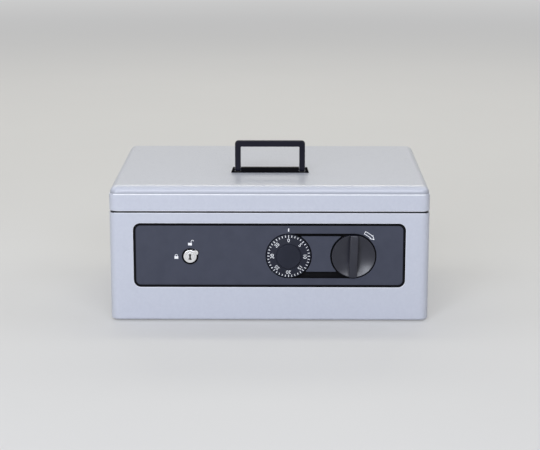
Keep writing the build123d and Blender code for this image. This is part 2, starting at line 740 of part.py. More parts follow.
# Knob shaft in its bush, with the crank that drives the latch bar
crank_front = bar_back + CRANK_GAP
crank_back = crank_front + CRANK_THICKNESS
with BuildPart() as knob_bush:
    round_bar(knob_x, AXIS_Z, BUSH_RADIUS, pocket_floor + BUSH_SET_BACK, chassis_back)
    round_bar(knob_x, AXIS_Z, BUSH_FLANGE_RADIUS, chassis_back, chassis_back + BUSH_FLANGE)
    round_bar(
        knob_x,
        AXIS_Z,
        SHAFT_RADIUS + RUNNING,
        pocket_floor + BUSH_SET_BACK,
        chassis_back + BUSH_FLANGE,
        mode=Mode.SUBTRACT,
    )
finish(knob_bush, "knob_bush")

with BuildPart() as knob_shaft:
    round_bar(knob_x, AXIS_Z, SHAFT_RADIUS, disc_back - SHAFT_GRIP, crank_back + 2 * CLIP_THICKNESS)
finish(knob_shaft, "knob_shaft")

with BuildPart() as knob_crank:
    with BuildSketch(facing(crank_back)):
        with Locations((knob_x, AXIS_Z)):
            Circle(SHAFT_RADIUS + CRANK_EYE)
        with Locations((crank_pin_x, crank_pin_z)):
            Circle(CRANK_PIN_RADIUS + CRANK_EYE)
        make_hull()
        with Locations((knob_x, AXIS_Z)):
            Circle(SHAFT_RADIUS, mode=Mode.SUBTRACT)
    extrude(amount=CRANK_THICKNESS)
    round_bar(crank_pin_x, crank_pin_z, CRANK_PIN_RADIUS, bar_front - CRANK_PIN_REACH, crank_front)
finish(knob_crank, "knob_crank")

with BuildPart() as crank_clip:
    round_bar(knob_x, AXIS_Z, CRANK_CLIP_RADIUS, crank_back, crank_back + CLIP_THICKNESS)
    round_bar(knob_x, AXIS_Z, SHAFT_RADIUS, crank_back, crank_back + CLIP_THICKNESS, mode=Mode.SUBTRACT)
finish(crank_clip, "crank_clip")

# Latch bar at the open end of its travel: a strip with a fork for the crank pin, two fingers for the
# strikers, a fence that passes over the wheels' gates, and two notches for the lock bolt
fork_half = CRANK_PIN_RADIUS + FORK_PLAY
fence_x = dial_x + bar_travel / 2
fence_bottom = AXIS_Z + WHEEL_RADIUS - GATE_DEPTH + FENCE_CLEARANCE
notch_half = BOLT_WIDTH / 2 + NOTCH_CLEARANCE
bolt_top = bar_bottom - BOLT_DROP
notch_top = bolt_top + bolt_travel + NOTCH_CLEARANCE
finger_front = striker_middle - FINGER_THICKNESS / 2
finger_back = striker_middle + FINGER_THICKNESS / 2
bar_left = lock_x - BAR_TAIL
bar_right = striker_x + BAR_END
fork_bottom = bar_bottom - FORK_LENGTH
guide_places = (lock_x + GUIDE_FROM_LOCK, dial_x + GUIDE_FROM_DIAL, knob_x + GUIDE_FROM_KNOB)
with BuildPart() as latch_bar:
    with BuildSketch(facing(bar_back)):
        with Locations(((bar_left + bar_right) / 2, (bar_bottom + bar_top) / 2)):
            Rectangle(bar_right - bar_left, BAR_HEIGHT)
        with Locations((crank_pin_x, (fork_bottom + bar_bottom) / 2)):
            Rectangle(2 * (fork_half + FORK_PRONG), bar_bottom - fork_bottom)
            Rectangle(2 * fork_half, bar_bottom - fork_bottom, mode=Mode.SUBTRACT)
        for x in (lock_x, lock_x + bar_travel):
            with Locations((x, (bar_bottom + notch_top) / 2)):
                Rectangle(2 * notch_half, notch_top - bar_bottom, mode=Mode.SUBTRACT)
        for x in guide_places:
            with Locations((x + bar_travel / 2, guide_z)):
                SlotCenterToCenter(
                    bar_travel + 2 * GUIDE_END_PLAY,
                    2 * (GUIDE_NECK_RADIUS + SIDE_PLAY),
                    mode=Mode.SUBTRACT,
                )
    extrude(amount=BAR_THICKNESS)
    block(
        fence_x - FENCE_THICKNESS / 2,
        fence_x + FENCE_THICKNESS / 2,
        bar_back,
        bar_back + FENCE_REACH,
        fence_bottom,
        guide_z,
    )
    block(
        fence_x - FENCE_THICKNESS / 2,
        fence_x + FENCE_THICKNESS / 2,
        bar_front,
        bar_back,
        fence_bottom,
        bar_bottom,
    )
    for side in (-1, 1):
        arm_left = side * striker_x + STRIKER_THICKNESS / 2 + FINGER_ARM_GAP + bar_travel
        tip = side * striker_x - STRIKER_THICKNESS / 2 - FINGER_TIP_REACH + bar_travel
        block(arm_left, arm_left + FINGER_ARM, bar_back, finger_back, finger_low, finger_high)
        block(tip, arm_left, finger_front, finger_back, finger_low, finger_high)
finish(latch_bar, "latch_bar")


def shouldered_stud(x, z, base_radius, neck_radius, y_seat, thickness, head):
    """A guide stud on the chassis: a base, a neck through the slotted piece, and a head that keeps it on."""
    y_head = y_seat + thickness + 2 * SIDE_PLAY
    round_bar(x, z, base_radius, chassis_back, y_seat)
    round_bar(x, z, neck_radius, y_seat, y_head)
    round_bar(x, z, base_radius, y_head, y_head + head)


with BuildPart() as latch_guides:
    for x in guide_places:
        shouldered_stud(
            x, guide_z, GUIDE_BASE_RADIUS, GUIDE_NECK_RADIUS, bar_front - SIDE_PLAY, BAR_THICKNESS, GUIDE_HEAD
        )
finish(latch_guides, "latch_guides")

# Lock cylinder, with its round head, the lug beside it and the nut behind the chassis
lock_face = panel_face - LOCK_FACE_PROUD
cylinder_back = chassis_back + LOCK_TAIL
with BuildPart() as lock_cylinder:
    round_bar(lock_x, LOCK_Z, LOCK_HEAD_RADIUS, lock_face, recess_floor)
    fillet(lock_cylinder.faces().sort_by(Axis.Y)[0].edges(), LOCK_HEAD_EDGE)
    round_bar(lock_x, LOCK_Z, LOCK_BODY_RADIUS, recess_floor, cylinder_back)
    round_bar(lug_x, lug_z, LUG_RADIUS, lock_face + LUG_SET_BACK, recess_floor)
    round_bar(lock_x, LOCK_Z, PLUG_RADIUS + RUNNING, lock_face, cylinder_back, mode=Mode.SUBTRACT)
finish(lock_cylinder, "lock_cylinder")

with BuildPart() as cylinder_nut:
    hexagon_nut(lock_x, LOCK_Z, LOCK_NUT_FLATS, LOCK_BODY_RADIUS, chassis_back, LOCK_NUT_HEIGHT)
finish(cylinder_nut, "cylinder_nut")

# Key plug with its keyway, and the cam on its tail
plug_face = lock_face - PLUG_PROUD
cam_front = cylinder_back + HOLE_CLEARANCE
cam_back = cam_front + CAM_THICKNESS
bolt_plate_front = cam_back + BOLT_PLATE_GAP
bolt_plate_back = bolt_plate_front + BOLT_PLATE
keyway_z = LOCK_Z - KEYWAY_DROP
keyway_end = (KEYWAY_HEIGHT - KEYWAY_END_HEIGHT) / 2
with BuildPart() as key_plug:
    round_bar(lock_x, LOCK_Z, PLUG_RADIUS, plug_face, cylinder_back)
    round_bar(lock_x, LOCK_Z, PLUG_TAIL_RADIUS, cylinder_back, cam_back)
    round_bar(lock_x, LOCK_Z, CAM_SCREW_RADIUS, cam_back - CAM_SCREW_LENGTH, cam_back, mode=Mode.SUBTRACT)
    with BuildSketch(facing(plug_face + KEYWAY_DEPTH)):
        with Locations((lock_x, keyway_z)):
            Rectangle(KEYWAY_WIDTH, KEYWAY_HEIGHT)
        with Locations((lock_x, keyway_z + keyway_end)):
            Rectangle(KEYWAY_HEAD_WIDTH, KEYWAY_END_HEIGHT)
        with Locations((lock_x, keyway_z - keyway_end)):
            Rectangle(KEYWAY_FOOT_WIDTH, KEYWAY_END_HEIGHT)
    extrude(amount=KEYWAY_DEPTH, mode=Mode.SUBTRACT)
finish(key_plug, "key_plug")

with BuildPart() as lock_cam:
    round_bar(lock_x, LOCK_Z, CAM_RADIUS, cam_front, cam_back)
    round_bar(lock_x, LOCK_Z, PLUG_TAIL_RADIUS, cam_front, cam_back, mode=Mode.SUBTRACT)
    round_bar(cam_pin_x, cam_pin_z, CAM_PIN_RADIUS, cam_back, bolt_plate_back + CRANK_PIN_REACH)
finish(lock_cam, "lock_cam")

with BuildPart() as cam_screw:
    round_bar(lock_x, LOCK_Z, CAM_SCREW_RADIUS, cam_back - CAM_SCREW_LENGTH, cam_back)
    round_bar(lock_x, LOCK_Z, CAM_SCREW_HEAD_RADIUS, cam_back, cam_back + CAM_SCREW_HEAD)
finish(cam_screw, "cam_screw")

# Lock bolt, drawn back: a plate on two guide studs whose head rises into a notch of the latch bar
cam_slot_length = CAM_PIN_CIRCLE - (cam_pin_x - lock_x) + 2 * CAM_PIN_RADIUS + 2 * CAM_PLAY
cam_slot_x = (lock_x + CAM_PIN_CIRCLE + cam_pin_x) / 2
guide_slot_z = LOCK_Z - bolt_travel / 2
with BuildPart() as lock_bolt:
    with BuildSketch(facing(bolt_plate_back)):
        with Locations((lock_x, (bolt_plate_bottom + bolt_plate_top) / 2)):
            Rectangle(BOLT_PLATE_WIDTH, bolt_plate_top - bolt_plate_bottom)
        with Locations((lock_x, (bolt_plate_top + bolt_top) / 2)):
            Rectangle(BOLT_WIDTH, bolt_top - bolt_plate_top)
        with Locations((cam_slot_x, cam_pin_z)):
            Rectangle(cam_slot_length, 2 * (CAM_PIN_RADIUS + CAM_PLAY), mode=Mode.SUBTRACT)
        for side in (-1, 1):
            with Locations((lock_x + side * BOLT_GUIDE_OFFSET, guide_slot_z)):
                SlotCenterToCenter(
                    bolt_travel + 2 * GUIDE_END_PLAY,
                    2 * (BOLT_GUIDE_NECK_RADIUS + SIDE_PLAY),
                    rotation=90,
                    mode=Mode.SUBTRACT,
                )
    extrude(amount=BOLT_PLATE)
    block(
        lock_x - BOLT_WIDTH / 2,
        lock_x + BOLT_WIDTH / 2,
        bar_front,
        bolt_plate_back,
        bolt_top - BOLT_HEAD_HEIGHT,
        bolt_top,
    )
finish(lock_bolt, "lock_bolt")

with BuildPart() as bolt_guides:
    for side in (-1, 1):
        shouldered_stud(
            lock_x + side * BOLT_GUIDE_OFFSET,
            LOCK_Z,
            BOLT_GUIDE_BASE_RADIUS,
            BOLT_GUIDE_NECK_RADIUS,
            bolt_plate_front - SIDE_PLAY,
            BOLT_PLATE,
            BOLT_GUIDE_HEAD,
        )
finish(bolt_guides, "bolt_guides")

# Hinge: two leaves riveted to the outside, with knuckles in turn along one pin
pitch = HINGE_LENGTH / KNUCKLES


def hinge_leaf(first, outward, stop):
    """A hinge leaf. first is its first knuckle, outward is 1 for the leaf above the pin and -1 below it."""
    edge = hinge_z + outward * LEAF_CLEARANCE
    far = hinge_z + outward * LEAF_HEIGHT
    block(-HINGE_LENGTH / 2, HINGE_LENGTH / 2, back, back + LEAF, min(edge, far), max(edge, far))
    for number in range(first, KNUCKLES, 2):
        x = -HINGE_LENGTH / 2 + (number + 0.5) * pitch
        with BuildSketch(across(x)) as profile:
            with Locations((hinge_y, hinge_z)):
                Circle(KNUCKLE_RADIUS)
            with Locations((back + LEAF / 2, (hinge_z + edge) / 2)):
                Rectangle(LEAF, LEAF_CLEARANCE)
            if stop:
                with Locations((hinge_y + KNUCKLE_RADIUS / 2, hinge_z + STOP_HEIGHT / 2)):
                    Rectangle(KNUCKLE_RADIUS, STOP_HEIGHT)
            with Locations((hinge_y, hinge_z)):
                Circle(HINGE_PIN_RADIUS + (0 if stop else RUNNING), mode=Mode.SUBTRACT)
        extrude(profile.sketch, amount=(pitch - KNUCKLE_GAP) / 2, both=True)


with BuildPart() as hinge_case_leaf:
    hinge_leaf(0, -1, True)
    for x in rivet_places:
        round_bar(x, case_rivet_z, HINGE_RIVET_RADIUS, back, back + LEAF, mode=Mode.SUBTRACT)
finish(hinge_case_leaf, "hinge_case_leaf")

with BuildPart() as hinge_lid_leaf:
    hinge_leaf(1, 1, False)
    for x in rivet_places:
        round_bar(x, lid_rivet_z, HINGE_RIVET_RADIUS, back, back + LEAF, mode=Mode.SUBTRACT)
finish(hinge_lid_leaf, "hinge_lid_leaf")

with BuildPart() as hinge_pin:
    with BuildSketch(across(0)):
        with Locations((hinge_y, hinge_z)):
            Circle(HINGE_PIN_RADIUS)
    extrude(amount=HINGE_LENGTH / 2, both=True)
finish(hinge_pin, "hinge_pin")


def hinge_rivets(z):
    """Rivets through a hinge leaf and the sheet, with a head on each side."""
    for x in rivet_places:
        round_bar(x, z, HINGE_RIVET_RADIUS, back_inner, back + LEAF)
        round_bar(x, z, HINGE_RIVET_HEAD_RADIUS, back + LEAF, back + LEAF + HINGE_RIVET_HEAD)
        round_bar(x, z, HINGE_RIVET_HEAD_RADIUS, back_inner - HINGE_RIVET_HEAD, back_inner)


with BuildPart() as hinge_case_rivets:
    hinge_rivets(case_rivet_z)
finish(hinge_case_rivets, "hinge_case_rivets")

with BuildPart() as hinge_lid_rivets:
    hinge_rivets(lid_rivet_z)
finish(hinge_lid_rivets, "hinge_lid_rivets")


def lid_form(inset, z_low, z_high):
    """The lid's outside or hollow: a skirt, then a crown set in by a small step, both rounded at the top."""
    step_z = LID_TOP - CROWN_HEIGHT - inset
    with BuildSketch(Plane.XY.offset(z_low)) as skirt_profile:
        outline(inset)
    with BuildSketch(Plane.XY.offset(step_z)) as crown_profile:
        outline(inset + CROWN_STEP)
    crown = extrude(crown_profile.sketch, amount=z_high - step_z, mode=Mode.PRIVATE)
    crown = fillet(crown.faces().sort_by(Axis.Z)[-1].edges(), CROWN_RADIUS - inset)
    skirt = extrude(skirt_profile.sketch, amount=step_z - z_low, mode=Mode.PRIVATE)
    skirt = fillet(skirt.faces().sort_by(Axis.Z)[-1].edges(), CROWN_STEP_EDGE)
    return skirt + crown


# Lid shell: drawn sheet with a rounded crown above a straight skirt
lid_outside = lid_form(0, lid_bottom, LID_TOP)
lid_hollow = lid_form(SHEET, lid_bottom, lid_inner_top)
with BuildPart() as lid_shell:
    add(lid_outside)
    fillet(lid_shell.faces().sort_by(Axis.Z)[0].edges(), EDGE_BEND)
    add(lid_hollow, mode=Mode.SUBTRACT)
    for side in (-1, 1):
        upright_bar(
            side * HANDLE_SCREW_X,
            HANDLE_Y,
            HANDLE_SCREW_RADIUS + HOLE_CLEARANCE,
            lid_inner_top,
            LID_TOP,
            mode=Mode.SUBTRACT,
        )
    for x in rivet_places:
        round_bar(x, lid_rivet_z, HINGE_RIVET_RADIUS, back_inner, back, mode=Mode.SUBTRACT)
finish(lid_shell, "lid_shell")

# Lid pan: a shallow tray turned upside down, welded inside the skirt
with BuildPart() as lid_pan:
    with BuildSketch(Plane.XY.offset(pan_bottom)):
        outline(SHEET)
    extrude(amount=PAN_WALL_HEIGHT)
    with BuildSketch(Plane.XY.offset(pan_bottom + SHEET)):
        outline(2 * SHEET)
    extrude(amount=PAN_WALL_HEIGHT - SHEET, mode=Mode.SUBTRACT)
    for x in rivet_places:
        round_bar(x, lid_rivet_z, HINGE_RIVET_HEAD_RADIUS, back_inner - SHEET, back_inner, mode=Mode.SUBTRACT)
    for side in (-1, 1):
        for offset_x in (-1, 1):
            upright_bar(
                side * striker_x + offset_x * STRIKER_FOOT_LENGTH / 3,
                striker_middle,
                STRIKER_RIVET_RADIUS,
                pan_bottom,
                pan_bottom + SHEET,
                mode=Mode.SUBTRACT,
            )
finish(lid_pan, "lid_pan")

# Strikers: hanging plates, each with a window that a finger of the latch bar enters
foot_bottom = pan_bottom - STRIKER_FOOT
with BuildPart() as lid_strikers:
    for side in (-1, 1):
        x = side * striker_x
        block(
            x - STRIKER_THICKNESS / 2,
            x + STRIKER_THICKNESS / 2,
            striker_front,
            striker_back,
            window_bottom - WINDOW_SILL,
            pan_bottom,
        )
        block(
            x - STRIKER_THICKNESS / 2,
            x + STRIKER_THICKNESS / 2,
            striker_front + WINDOW_FRAME,
            striker_back - WINDOW_FRAME,
            window_bottom,
            window_bottom + WINDOW_HEIGHT,
            mode=Mode.SUBTRACT,
        )
        block(
            x - STRIKER_FOOT_LENGTH / 2,
            x + STRIKER_FOOT_LENGTH / 2,
            striker_front,
            striker_back,
            foot_bottom,
            pan_bottom,
        )
        for offset_x in (-1, 1):
            upright_bar(
                x + offset_x * STRIKER_FOOT_LENGTH / 3,
                striker_middle,
                STRIKER_RIVET_RADIUS,
                foot_bottom,
                pan_bottom,
                mode=Mode.SUBTRACT,
            )
finish(lid_strikers, "lid_strikers")

with BuildPart() as striker_rivets:
    for side in (-1, 1):
        for offset_x in (-1, 1):
            x = side * striker_x + offset_x * STRIKER_FOOT_LENGTH / 3
            upright_bar(x, striker_middle, STRIKER_RIVET_RADIUS, foot_bottom, pan_bottom + SHEET)
            upright_bar(
                x,
                striker_middle,
                STRIKER_RIVET_HEAD_RADIUS,
                pan_bottom + SHEET,
                pan_bottom + SHEET + STRIKER_RIVET_HEAD,
            )
            upright_bar(
                x, striker_middle, STRIKER_RIVET_HEAD_RADIUS, foot_bottom - STRIKER_RIVET_HEAD, foot_bottom
            )
finish(striker_rivets, "striker_rivets")

# Handle base: a block between the handle's legs and a slanted ear outside each of them, on one thin floor
block_half = handle_inner_half - HANDLE_SIDE_GAP
ear_top_half = base_half - HANDLE_EAR_TAPER
with BuildPart() as handle_base:
    with BuildSketch(facing(HANDLE_Y + HANDLE_BASE_DEPTH / 2)):
        with BuildLine():
            Polyline(
                (-base_half, LID_TOP),
                (base_half, LID_TOP),
                (ear_top_half, LID_TOP + HANDLE_EAR_HEIGHT),
                (-ear_top_half, LID_TOP + HANDLE_EAR_HEIGHT),
                close=True,
            )
        make_face()
        with Locations((0, LID_TOP + HANDLE_BASE_HEIGHT / 2)):
            Rectangle(2 * block_half, HANDLE_BASE_HEIGHT)
    extrude(amount=HANDLE_BASE_DEPTH)
    chamfer(handle_base.faces().sort_by(Axis.Z)[-1].edges().filter_by(Axis.X), HANDLE_BASE_EDGE)
    for side in (-1, 1):
        leg_middle = side * (HANDLE_WIDTH - HANDLE_LEG) / 2
        block(
            leg_middle - HANDLE_LEG / 2 - HANDLE_SIDE_GAP,
            leg_middle + HANDLE_LEG / 2 + HANDLE_SIDE_GAP,
            HANDLE_Y - HANDLE_BASE_DEPTH / 2,
            HANDLE_Y + HANDLE_BASE_DEPTH / 2,
            LID_TOP + HANDLE_BASE_FLOOR,
            LID_TOP + HANDLE_BASE_HEIGHT,
            mode=Mode.SUBTRACT,
        )
        upright_bar(
            side * HANDLE_SCREW_X,
            HANDLE_Y,
            HANDLE_SCREW_RADIUS,
            LID_TOP,
            LID_TOP + HANDLE_SCREW_DEPTH,
            mode=Mode.SUBTRACT,
        )
    pin_inner = block_half - HANDLE_PIN_GRIP
    for side in (-1, 1):
        with BuildSketch(across(side * pin_inner)):
            with Locations((HANDLE_Y, handle_pivot_z)):
                Circle(HANDLE_PIN_RADIUS)
        extrude(amount=side * (base_half - pin_inner), mode=Mode.SUBTRACT)
finish(handle_base, "handle_base")

with BuildPart() as handle_pins:
    for side in (-1, 1):
        with BuildSketch(across(side * pin_inner)):
            with Locations((HANDLE_Y, handle_pivot_z)):
                Circle(HANDLE_PIN_RADIUS)
        extrude(amount=side * (ear_top_half - pin_inner))
finish(handle_pins, "handle_pins")

# Carry handle: a bail with round-ended legs
handle_top = LID_TOP + HANDLE_HEIGHT
with BuildPart() as carry_handle:
    with BuildSketch(facing(HANDLE_Y + HANDLE_DEPTH / 2)) as bail:
        with Locations((0, (handle_pivot_z - HANDLE_DEPTH / 2 + handle_top) / 2)):
            Rectangle(HANDLE_WIDTH, handle_top - handle_pivot_z + HANDLE_DEPTH / 2)
        fillet(bail.vertices().group_by(Axis.Y)[-1], HANDLE_OUTER_RADIUS)
        inner_top = handle_top - HANDLE_BAR
        with Locations((0, (handle_pivot_z - HANDLE_DEPTH / 2 + inner_top) / 2)):
            Rectangle(
                2 * handle_inner_half, inner_top - handle_pivot_z + HANDLE_DEPTH / 2, mode=Mode.SUBTRACT
            )
        inner_corners = bail.vertices().filter_by_position(Axis.Y, inner_top - RUNNING, inner_top + RUNNING)
        fillet(inner_corners, HANDLE_INNER_RADIUS)
    extrude(amount=HANDLE_DEPTH)
    with BuildSketch(across(0)):
        with Locations((HANDLE_Y, (handle_pivot_z + handle_top) / 2)):
            Rectangle(HANDLE_DEPTH, handle_top - handle_pivot_z)
        with Locations((HANDLE_Y, handle_pivot_z)):
            Circle(HANDLE_DEPTH / 2)
    extrude(amount=HANDLE_WIDTH / 2, both=True, mode=Mode.INTERSECT)
    with BuildSketch(across(0)):
        with Locations((HANDLE_Y, handle_pivot_z)):
            Circle(HANDLE_PIN_RADIUS + RUNNING)
    extrude(amount=HANDLE_WIDTH / 2, both=True, mode=Mode.SUBTRACT)
    bar_edges = carry_handle.faces().sort_by(Axis.Z)[-1].edges().filter_by(Axis.X)
    fillet(bar_edges, HANDLE_EDGE)
finish(carry_handle, "carry_handle")

# Backing plate and screws inside the lid's hollow, which hold the handle base down
plate_bottom = lid_inner_top - HANDLE_PLATE
with BuildPart() as handle_plate:
    with BuildSketch(Plane.XY.offset(plate_bottom)):
        with Locations((0, HANDLE_Y)):
            Rectangle(HANDLE_PLATE_LENGTH, HANDLE_PLATE_WIDTH)
        with Locations((-HANDLE_SCREW_X, HANDLE_Y), (HANDLE_SCREW_X, HANDLE_Y)):
            Circle(HANDLE_SCREW_RADIUS + HOLE_CLEARANCE, mode=Mode.SUBTRACT)
    extrude(amount=HANDLE_PLATE)
finish(handle_plate, "handle_plate")

with BuildPart() as handle_screws:
    for side in (-1, 1):
        upright_bar(
            side * HANDLE_SCREW_X, HANDLE_Y, HANDLE_SCREW_RADIUS, plate_bottom, LID_TOP + HANDLE_SCREW_DEPTH
        )
        upright_bar(
            side * HANDLE_SCREW_X,
            HANDLE_Y,
            HANDLE_SCREW_HEAD_RADIUS,
            plate_bottom - HANDLE_SCREW_HEAD,
            plate_bottom,
        )
finish(handle_screws, "handle_screws")
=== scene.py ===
"""Looks of the portable safe: finishes, printed marks, floor, lamps and camera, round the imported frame."""

import json
from math import cos, hypot, radians, sin

import bmesh
import bpy
from mathutils import Matrix, Vector


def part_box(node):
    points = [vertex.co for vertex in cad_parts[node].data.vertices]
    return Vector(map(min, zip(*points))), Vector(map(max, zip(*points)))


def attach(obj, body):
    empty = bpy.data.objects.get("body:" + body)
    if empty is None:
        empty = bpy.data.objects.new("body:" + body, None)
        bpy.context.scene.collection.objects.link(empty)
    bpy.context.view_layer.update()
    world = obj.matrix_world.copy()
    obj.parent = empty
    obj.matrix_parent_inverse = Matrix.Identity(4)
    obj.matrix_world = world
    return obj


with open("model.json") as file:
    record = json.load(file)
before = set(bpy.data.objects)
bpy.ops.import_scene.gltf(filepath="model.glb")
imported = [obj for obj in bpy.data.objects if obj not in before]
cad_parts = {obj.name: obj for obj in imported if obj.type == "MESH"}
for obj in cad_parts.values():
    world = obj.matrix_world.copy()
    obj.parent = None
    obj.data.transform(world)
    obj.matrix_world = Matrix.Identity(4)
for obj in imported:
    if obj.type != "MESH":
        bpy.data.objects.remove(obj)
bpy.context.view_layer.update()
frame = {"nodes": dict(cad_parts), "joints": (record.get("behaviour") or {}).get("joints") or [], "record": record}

MICRON = 0.000001

# Places of the parts, in metres, as the frame gives them
axis_places = {joint["name"]: joint["pos_m"] for joint in frame["joints"] if joint["type"] == "hinge"}
DIAL_X, _, DIAL_Z = axis_places["dial_turn"]
KNOB_X, _, KNOB_Z = axis_places["knob_turn"]
LOCK_X, _, LOCK_Z = axis_places["key_turn"]
CASE_HALF_WIDTH, CASE_HALF_DEPTH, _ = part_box("case_shell")[1]
SEAM_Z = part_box("lid_shell")[0].z
PLATE_LOW, PLATE_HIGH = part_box("face_plate")
PLUG_FACE_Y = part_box("key_plug")[0].y
COVER_LOW, COVER_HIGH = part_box("lock_cover")
SCREW_HEAD_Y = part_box("cover_screws")[1].y
DIAL_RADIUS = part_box("dial")[1].x - DIAL_X

# Textures: usual span of noise, soft ends of a band as a share of it, detail of noise, and softened edges
NOISE_SPAN = (0.3, 0.7)
SOFT_SHARE = 0.1
CLOUD_DETAIL = 4.0
GLOSS_FINENESS = 3.0
GLOSS_DETAIL = 3.0
GRAIN_DETAIL = 2.0
EDGE_RADIUS = 0.0003
EDGE_SAMPLES = 4

# Painted shade inside the keyway, by the depth behind the face of the key plug
KEYWAY_SHADE = (0.0003, 0.0009)
KEYWAY_PAINTED_SHADE_COLOR = (0.004, 0.004, 0.004)

# Painted shade in the corner under the seam and above the lid's step, and painted highlights on bends: heights
# over the seam between the case and its lid, and depths under the outer skin
CASE_PAINTED_SHADE = (-0.0024, 0.0002)
CASE_PAINTED_SHADE_DEPTH = (0.0004, 0.0009)
LID_STEP = (0.0189, 0.02005)
LID_PAINTED_SHADE_FADE = (0.0252, 0.0203)
LID_RIM = (-0.0001, 0.0006)
CASE_RIM = (-0.0027, -0.0019)
HIGHLIGHT_SKIN = 0.0012
HIGHLIGHT_FINENESS = 140
HIGHLIGHT_DETAIL = 3.0
HIGHLIGHT_SHARES = (0.7, 1.0)
CASE_PAINTED_SHADE_COLOR = (0.020, 0.020, 0.024)
CASE_PAINTED_HIGHLIGHT_COLOR = (0.76, 0.78, 0.84)
LID_PAINTED_SHADE_COLOR = (0.34, 0.355, 0.40)
LID_PAINTED_HIGHLIGHT_COLOR = (0.94, 0.95, 0.98)

# Cut-out in the case's front, which leaves a margin round the face plate and has a painted highlight on its lip
CUTOUT_MARGIN = 0.0029
CUTOUT_HALF_WIDTH = (PLATE_HIGH.x - PLATE_LOW.x) / 2 + CUTOUT_MARGIN
CUTOUT_HALF_HEIGHT = (PLATE_HIGH.z - PLATE_LOW.z) / 2 + CUTOUT_MARGIN
CUTOUT_MIDDLE_Z = (PLATE_HIGH.z + PLATE_LOW.z) / 2
CUTOUT_CORNER = 0.0083
LIP_HIGHLIGHT_INSIDE = 0.000175
LIP_HIGHLIGHT_OUTSIDE = 0.0007

# Print, just proud of the face that carries it
PRINT_THICKNESS = 0.00005
PRINT_EDGE = 0.00001
STROKE = 0.0007
MITRE_LIMIT = 0.35

# Dial face: a shallow cone between two radii, each a little proud of the face plate
DIAL_EDGE = 0.0005
DIAL_RIM_RADIUS = DIAL_RADIUS - DIAL_EDGE
DIAL_RIM_PROUD = 0.0007
DIAL_CONE_RADIUS = 0.0148
DIAL_CONE_PROUD = 0.0021

# Marks on the dial, by their distance from its middle
TICKS = 40
NUMBER_STEP = 5
TICK_OUTER = 0.0246
TICK_INNER = 0.0223
LONG_TICK_INNER = 0.0217
NUMERAL_HEIGHT = 0.0042
NUMERAL_MIDDLE = 0.0190
NUMERAL_SMOOTHNESS = 4
CAPITAL_SHARE = 0.72

# Index and arrow on the panel: distances from the middle of the dial or the knob, and angles in degrees
MARK_INNER = 0.0288
INDEX_OUTER = 0.0325
INDEX_WIDTH = 1.6 * STROKE
ARROW_OUTER = 0.0319
ARROW_START = 65.0
ARROW_NECK = 48.0
ARROW_TIP = 40.0
ARROW_BARB = 0.0009
ARROW_STEPS = 8

# Padlock signs on the panel, whose parts are shares of half a sign's width
PADLOCK_OFFSET = 0.0158
PADLOCK_HALF = 0.0022
PADLOCK_BODY_DROP = 0.6 * PADLOCK_HALF
PADLOCK_BODY_HEIGHT = 1.4 * PADLOCK_HALF
SHACKLE_RADIUS = 0.65 * PADLOCK_HALF
SHACKLE_RISE = 0.4 * PADLOCK_HALF
SHACKLE_FOOT = 0.05 * PADLOCK_HALF
SHACKLE_ANGLES = range(0, 181, 30)
SHACKLE_STROKE = 0.8 * STROKE
OPEN_LIFT = 0.5 * PADLOCK_HALF
OPEN_SHIFT = 1.3 * PADLOCK_HALF

# Cover screws, near the corners of the lock cover, whose heads face the back
SCREW_INSET = 0.008
SCREW_RISE = 0.0065
SCREW_DROP = 0.0054
SCREW_X = COVER_HIGH.x - SCREW_INSET
SCREW_HEIGHTS = (COVER_LOW.z + SCREW_RISE, COVER_HIGH.z - SCREW_DROP)
CROSS_HALF = 0.0016
CROSS_WIDTH = 0.0007

# Floor, and the share of glow in its look by the distance from the safe
FLOOR_HALF = 9.0
FLOOR_CELLS = 8
GLOW_DISTANCES = (0.6, 4.5)
GLOW_SHARES = (0.22, 0.60)

# Lamps: place, point that the lamp faces, width and height, watts and tint
WHITE = (1.0, 1.0, 1.0)
LOW_TARGET = (0.0, 0.0, 0.08)
HIGH_TARGET = (0.0, 0.0, 0.15)
LAMPS = {
    "overhead": ((0.0, 0.6, 1.75), HIGH_TARGET, (2.0, 0.2), 7.0, (1.0, 0.96, 0.76)),
    "front_low": ((-1.0, -2.15, 0.68), LOW_TARGET, (0.9, 0.5), 20.0, (0.88, 0.92, 1.0)),
    "front_soft": ((0.1, -2.25, 1.55), LOW_TARGET, (2.4, 1.0), 46.0, (0.90, 0.925, 1.0)),
    "back_soft": ((0.0, 2.2, 1.7), HIGH_TARGET, (2.4, 0.5), 20.0, (1.0, 0.965, 0.84)),
    "left_soft": ((-1.5, 0.2, 1.6), LOW_TARGET, (1.4, 0.8), 8.0, WHITE),
    "right_soft": ((1.5, 0.2, 1.6), LOW_TARGET, (1.4, 0.8), 8.0, WHITE),
}

# Surroundings
AMBIENT_TINT = (0.97, 0.98, 1.0)
AMBIENT_STRENGTH = 0.06
SEEN_STRENGTH = 0.55

# Camera, as the photograph was taken: angles in degrees, lens and sensor in millimetres
CAMERA_PLACE = (0.01676, -1.95055, 0.52995)
CAMERA_YAW = -0.506
CAMERA_PITCH = 12.88
CAMERA_LENS = 108.28
CAMERA_REACH = 50.0
SENSOR_WIDTH = 36.0


